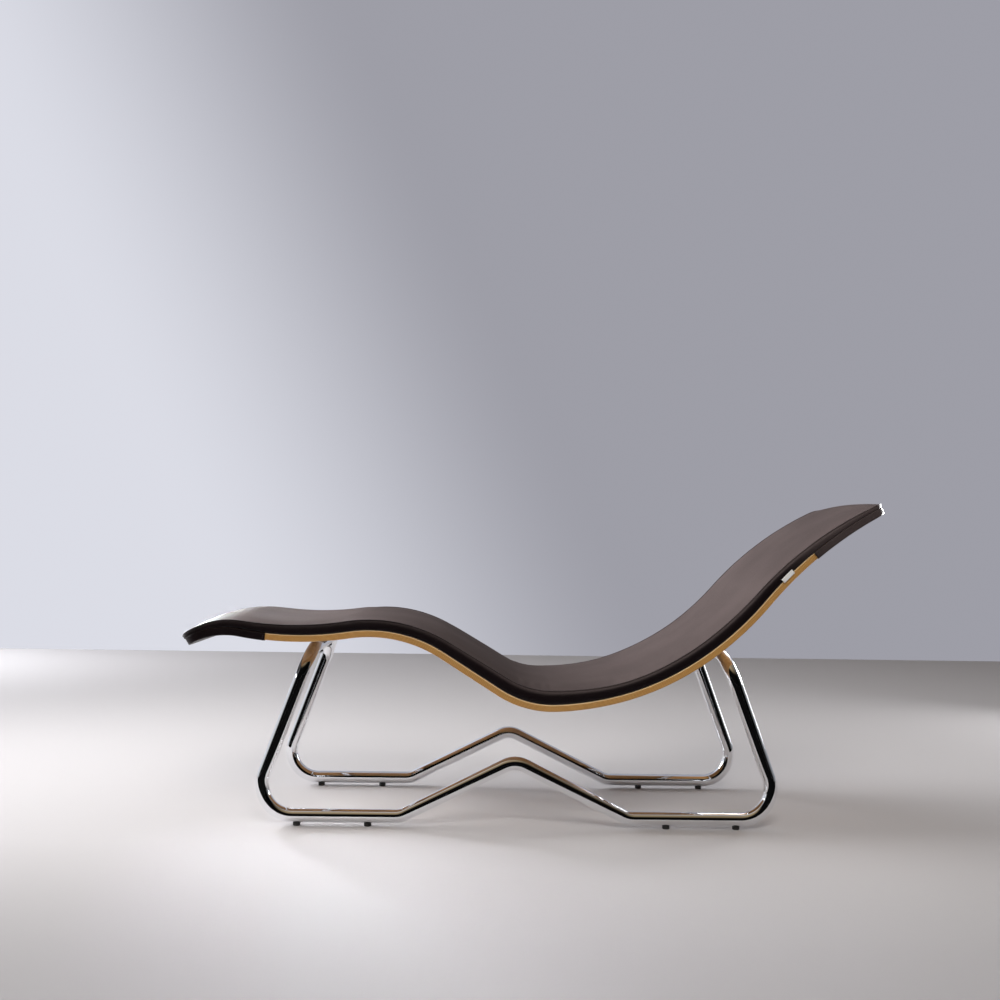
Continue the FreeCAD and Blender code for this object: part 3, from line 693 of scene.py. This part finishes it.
# Inside the cover lies the slab of cut upholstery foam. Under it the lining, a sheet of black woven cloth,
# closes the pad, stretched flat on the tapes.
TAPE = 0.0011
LINING = 0.001
LINING_LOW = PLY_FACE + 2 * TAPE + 3 * SOFT_GAP
FOAM_LOW = LINING_LOW + LINING + SOFT_GAP
FOAM_CELLS = (150, 24, 5)
LINING_CELLS = (150, 20, 1)
foam = Finish("foam", Roughness=0.95)
cells = foam.node("TexVoronoi", sockets={"Vector": foam.place(), "Scale": 1100})
foam.set(Base_Color=foam.ramp(cells, [(0.0, (0.45, 0.42, 0.32)), (0.6, (0.66, 0.62, 0.49))]),
         Normal=foam.bump(cells, 0.6, 0.0008))


def foam_shape(share):
    """The foam's outside: the cover's form, a leather and a gap inside it."""
    place = rows_to_places(share[:, 0], END_STACK + SOFT_GAP)
    return pad_point(place, share[:, 1] * 2 - 1, share[:, 2], END_STACK, FOAM_LOW)


foam_points, foam_faces = lattice_skin(FOAM_CELLS, foam_shape)[:2]
foam_slab = piece_of("foam_slab", foam_points, foam_faces, foam)
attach(foam_slab, "root")
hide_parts("foam_core")

lining_cloth = Finish("lining_cloth", Base_Color=(0.02, 0.02, 0.02, 1), Roughness=0.9)
weave = lining_cloth.node("TexChecker", sockets={"Vector": lining_cloth.place((1, 1, 0)), "Scale": 1400},
                          out=1)
lining_cloth.set(Normal=lining_cloth.bump(weave, 0.4, 0.0003))


def lining_shape(share):
    """The lining's outside: a flat layer over the plywood's face, as wide as the pad is there."""
    place = END_STACK + share[:, 0] * (SHELL_LENGTH - 2 * END_STACK)
    return on_shell(place, (share[:, 1] * 2 - 1) * side_across(place, END_STACK, LINING_LOW),
                    LINING_LOW + share[:, 2] * LINING)


lining_points, lining_faces = lattice_skin(LINING_CELLS, lining_shape)[:2]
lining = piece_of("lining", lining_points, lining_faces, lining_cloth)
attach(lining, "root")
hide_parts("pad_lining")


# Each end of the pad is closed by a strip of leather that runs from under the plywood up to the top's seam,
# bowed out a little by the foam. Below it a pocket of leather is pulled round the end of the plywood.
POCKET_UNDER = PLY_FACE + SOFT_GAP + LEATHER
POCKET_INSET = 0.0016
POCKET_BEND = 0.0045
FOOT_POCKET_DEPTH = 0.212
HEAD_POCKET_DEPTH = 0.224
END_BOW = 0.0025
END_COLUMNS, END_LAYERS = 61, 13
END_MAP_RISE = 0.5
TURN_BACK_POWER = 10
POCKET_PLACES = 40
BEND_POINTS, SIDE_POINTS, UNDER_POINTS = 6, 5, 33


def end_strip(name, node, at_head):
    """A strip across one end: b across, c up; the ends of the strip turn back towards the side panels. Its
    map is like a panel's, but rises only half way up, below the painted light of the sides' upper edge; the
    head's strip takes the painted light laid near the head."""
    b, c = np.meshgrid(np.linspace(-1, 1, END_COLUMNS), np.linspace(0, 1, END_LAYERS), indexing="ij")
    seam = SHELL_LENGTH - END_STACK if at_head else END_STACK
    top = PAD_FOOT + pad_edge(np.array(seam))
    level = -POCKET_UNDER + c * (top + POCKET_UNDER)
    crown = CROWN + (0 if at_head else FOOT_CROWN)
    height = level + c * (crown * (1 - b ** 2) - end_roll(np.array(seam)))
    turned_back = np.abs(b) ** TURN_BACK_POWER
    out = END_STACK * turned_back - END_BOW * np.sin(math.pi * c) * (1 - turned_back)
    wide = np.where(level > PAD_FOOT, side_across(np.full_like(level, seam), 0, np.maximum(level, PAD_FOOT)),
                    half_width(np.full_like(level, seam), POCKET_INSET))
    points = on_shell(SHELL_LENGTH - out if at_head else out, b * wide, height)
    faces = grid_quads(np.arange(b.size).reshape(b.shape))
    strip = piece_of(name, points.reshape(-1, 3), faces if at_head else faces[:, ::-1], side_leather,
                     np.stack([np.full(b.size, seam / SHELL_LENGTH), END_MAP_RISE * c.ravel()], -1))
    walled(strip, LEATHER)
    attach(strip, "root")
    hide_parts(node)


end_strip("foot_end_leather", "foot_end_panel", False)
end_strip("head_end_leather", "head_end_panel", True)


def pocket_section(place):
    """Across and height round a channel of leather: down one side, round a quarter circle, along below and up
    the other side, and then the same way back inside, a leather in."""
    out = half_width(place, POCKET_INSET)
    turn = np.linspace(0, math.pi / 2, BEND_POINTS)
    spread = np.linspace(1, -1, UNDER_POINTS)[1:-1]

    def path(inset, bend):
        low = -POCKET_UNDER + inset
        side = np.linspace(PLY_FACE, low + bend, SIDE_POINTS)[:-1]
        heights = np.concatenate([side, low + bend * (1 - np.sin(turn))])
        pulls = np.concatenate([0 * side, bend * (1 - np.cos(turn))]) + inset
        across = np.concatenate([out - pulls, (out - inset - bend) * spread, -out + pulls[::-1]], 1)
        return across, np.concatenate([heights, low + 0 * spread, heights[::-1]])

    outer, inner = path(0, POCKET_BEND), path(LEATHER, POCKET_BEND - LEATHER)
    across = np.concatenate([outer[0], inner[0][:, ::-1]], 1)
    return across, np.concatenate([outer[1], inner[1][::-1]]) + 0 * out


for name, node, start, end in (
        ("foot_pocket_leather", "foot_pocket", END_STACK, FOOT_POCKET_DEPTH),
        ("head_pocket_leather", "head_pocket", SHELL_LENGTH - HEAD_POCKET_DEPTH, SHELL_LENGTH - END_STACK)):
    pocket_places = along(start, end, POCKET_PLACES)[:, None]
    pocket_points = on_shell(pocket_places, *pocket_section(pocket_places))[:, ::-1]
    pocket_map = np.zeros((*pocket_points.shape[:2], 2))
    # The map's way along lays painted light on the head's pocket.
    pocket_map[..., 0] = pocket_places / SHELL_LENGTH
    pocket = loops_joined(name, pocket_points, side_leather, pocket_map.reshape(-1, 2))
    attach(pocket, "root")
    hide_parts(node)


# The panels are sewn edge to edge over a thin welt, with a row of topstitching just inside the top's edge,
# and another at the mouth of each pocket. The thread is a shade lighter than the leather.
WELT_RADIUS = 0.0014
WELT_STEP = 0.009
WELT_SIDES = 10
WELT_LIT_MAP_HEIGHT = 0.9
STITCH_PITCH = 0.0085
STITCH_LENGTH = 0.0058
THREAD_RADIUS = 0.00045
STITCH_INSET = 0.42
STITCH_PROUD = 0.0002
SIDE_WELT_PROUD = 0.0004
END_WELT_PROUD = 0.0003
HEM = 0.006
HEM_STOP = 0.002
HEM_SIDE_POINTS, HEM_UNDER_POINTS = 8, 40
top_sheet = cover_points[cover_index[:, :, -1]]


def spaced(path, step, *fields):
    """The points of a path at even steps along it, with the values of each field there."""
    run = np.concatenate([[0], np.cumsum(np.linalg.norm(np.diff(path, axis=0), axis=1))])
    marks = np.linspace(0, run[-1], max(int(run[-1] / step), 1) + 1)
    return [np.stack([np.interp(marks, run, line[:, k]) for k in range(3)], -1) for line in (path, *fields)]


def welt(name, path, up, start=0.0, end=1.0):
    """A thin round cord of leather along a path, from one share of the pad's length to another; up is
    roughly out of the surface."""
    path, up = spaced(path, WELT_STEP, up)
    ahead = unit(np.gradient(path, axis=0))
    aside = unit(np.cross(ahead, up))
    out = np.cross(aside, ahead)
    ring = np.linspace(0, 2 * math.pi, WELT_SIDES + 1)[:-1]
    loops = (path[:, None] + WELT_RADIUS * (aside[:, None] * np.cos(ring)[:, None]
                                            + out[:, None] * np.sin(ring)[:, None]))
    # The welts' map stands high up the side, so they take the side's painted light.
    cord_map = np.full((*loops.shape[:2], 2), WELT_LIT_MAP_HEIGHT)
    cord_map[..., 0] = np.linspace(start, end, len(loops))[:, None]
    cord = loops_joined(name, loops[:, ::-1], side_leather, cord_map.reshape(-1, 2))
    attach(cord, "root")


def stitches(name, path, outward):
    """A row of stitches along a path: each is a spindle of six sides, thin at its ends, which curves down to
    them from its middle by the fourth power of the way there."""
    path, outward = spaced(path, STITCH_PITCH, outward)
    middle, ahead = (path[1:] + path[:-1]) / 2, unit(path[1:] - path[:-1])
    out = unit(outward[1:] + outward[:-1])
    aside = np.cross(ahead, out)
    u = np.array([-1, -0.85, -0.4, 0.4, 0.85, 1])
    thick = np.array([0.15, 0.75, 1, 1, 0.75, 0.15]) * THREAD_RADIUS
    lift = THREAD_RADIUS * (1.3 - 2.0 * u ** 4)
    ring = np.arange(6) * math.pi / 3
    spindle = (middle[:, None, None] + ahead[:, None, None] * (u * STITCH_LENGTH / 2)[:, None, None]
               + out[:, None, None] * (lift[:, None] + thick[:, None] * np.sin(ring))[..., None]
               + aside[:, None, None] * (thick[:, None] * np.cos(ring))[..., None])
    index = np.arange(spindle[..., 0].size).reshape(spindle.shape[:3])
    ahead_index = np.roll(index, -1, 2)
    sides = np.stack([index[:, :-1], index[:, 1:], ahead_index[:, 1:], ahead_index[:, :-1]], -1)
    caps = np.concatenate([index[:, 0], index[:, -1, ::-1]])
    row = piece_of(name, spindle.reshape(-1, 3), sides.reshape(-1, 4).tolist() + caps.tolist(), thread)
    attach(row, "root")


thread = Finish("waxed_thread", Base_Color=(0.045, 0.032, 0.029, 1), Roughness=0.5)
twist = thread.node("TexWave", {"bands_direction": "DIAGONAL"}, {"Vector": thread.place(), "Scale": 900})
thread.set(Normal=thread.bump(twist, 0.5, 0.0002))

for side, column, beside in (("left", 0, 1), ("right", -1, -2)):
    edge, inner = top_sheet[:, column], top_sheet[:, beside]
    normal = unit(np.cross(np.gradient(edge, axis=0), inner - edge))
    normal = normal * np.sign(normal[:, 2:3])
    outward = unit(edge - inner)
    welt(f"{side}_welt", edge + (normal + outward) * SIDE_WELT_PROUD, normal)
    stitches(f"{side}_topstitching", edge + (inner - edge) * STITCH_INSET + normal * STITCH_PROUD, normal)
for end, row, beside, share in (("foot", 0, 1, 0.0), ("head", -1, -2, 1.0)):
    edge, inner = top_sheet[row], top_sheet[beside]
    outward = unit(edge - inner)
    normal = np.cross(outward, unit(np.gradient(edge, axis=0)))
    normal = normal * np.sign(normal[:, 2:3])
    welt(f"{end}_welt", edge + (normal + outward) * END_WELT_PROUD, normal, share, share)

for end, place in (("foot", FOOT_POCKET_DEPTH - HEM), ("head", SHELL_LENGTH - HEAD_POCKET_DEPTH + HEM)):
    for side, sign in (("left", -1), ("right", 1)):
        heights = np.linspace(PLY_FACE, -PLY_FACE + HEM_STOP, HEM_SIDE_POINTS)
        row = on_shell(place, sign * half_width(np.full(HEM_SIDE_POINTS, place), POCKET_INSET), heights)
        stitches(f"{side}_{end}_pocket_side_stitching", row, np.tile([0.0, sign, 0.0], (HEM_SIDE_POINTS, 1)))
    spread = np.linspace(-1, 1, HEM_UNDER_POINTS) * (half_width(np.array(place), POCKET_INSET) - POCKET_BEND)
    row = on_shell(place, spread, -POCKET_UNDER)
    heading = shell_line(np.array([place]))[2][0]
    below = [math.sin(heading), 0, -math.cos(heading)]
    stitches(f"{end}_pocket_stitching", row, np.tile(below, (HEM_UNDER_POINTS, 1)))


# A small tab of woven tape, white and blank, is caught in the side of the pad near the head. It hangs down
# over the plywood's edge, swaying in a little towards its end.
TAB_START = 1.702
TAB_LENGTH = 0.038
TAB_HEIGHT = 0.0128
TAB_HANG = 0.005
TAB_LIFT = 0.0002
TAB_SWAY = 0.0015
TAB_THICKNESS = 0.0009
TAB_POINTS, TAB_DROP_POINTS = 20, 12
WHITE_YARN = (0.93, 0.93, 0.92, 1)
SHADED_YARN = (0.78, 0.78, 0.77, 1)

woven_tab = Finish("woven_tab", Roughness=0.85)
warp = woven_tab.node("TexChecker", sockets={"Vector": woven_tab.place(), "Scale": 2500}, out=1)
woven_tab.set(Base_Color=woven_tab.blend(warp * 0.25, WHITE_YARN, SHADED_YARN),
              Normal=woven_tab.bump(warp, 0.4, 0.0002))
tab_rows = np.linspace(TAB_START, TAB_START + TAB_LENGTH, TAB_POINTS)
tab_drop = np.linspace(0, 1, TAB_DROP_POINTS)
fullest = np.abs(cover_points[cover_index[:, 0, :]][..., 1]).max(1)
tab_out = np.interp(tab_rows, pad_rows, fullest)[:, None] + TAB_LIFT - TAB_SWAY * tab_drop ** 2
tab_points = on_shell(tab_rows[:, None], -tab_out, PLY_FACE - TAB_HANG + (1 - tab_drop) * TAB_HEIGHT)
tab_faces = grid_quads(np.arange(tab_points[..., 0].size).reshape(tab_points.shape[:2]))
tab = piece_of("side_tab_cloth", tab_points.reshape(-1, 3), tab_faces, woven_tab)
walled(tab, TAB_THICKNESS, 1)
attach(tab, "root")
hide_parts("side_tab")
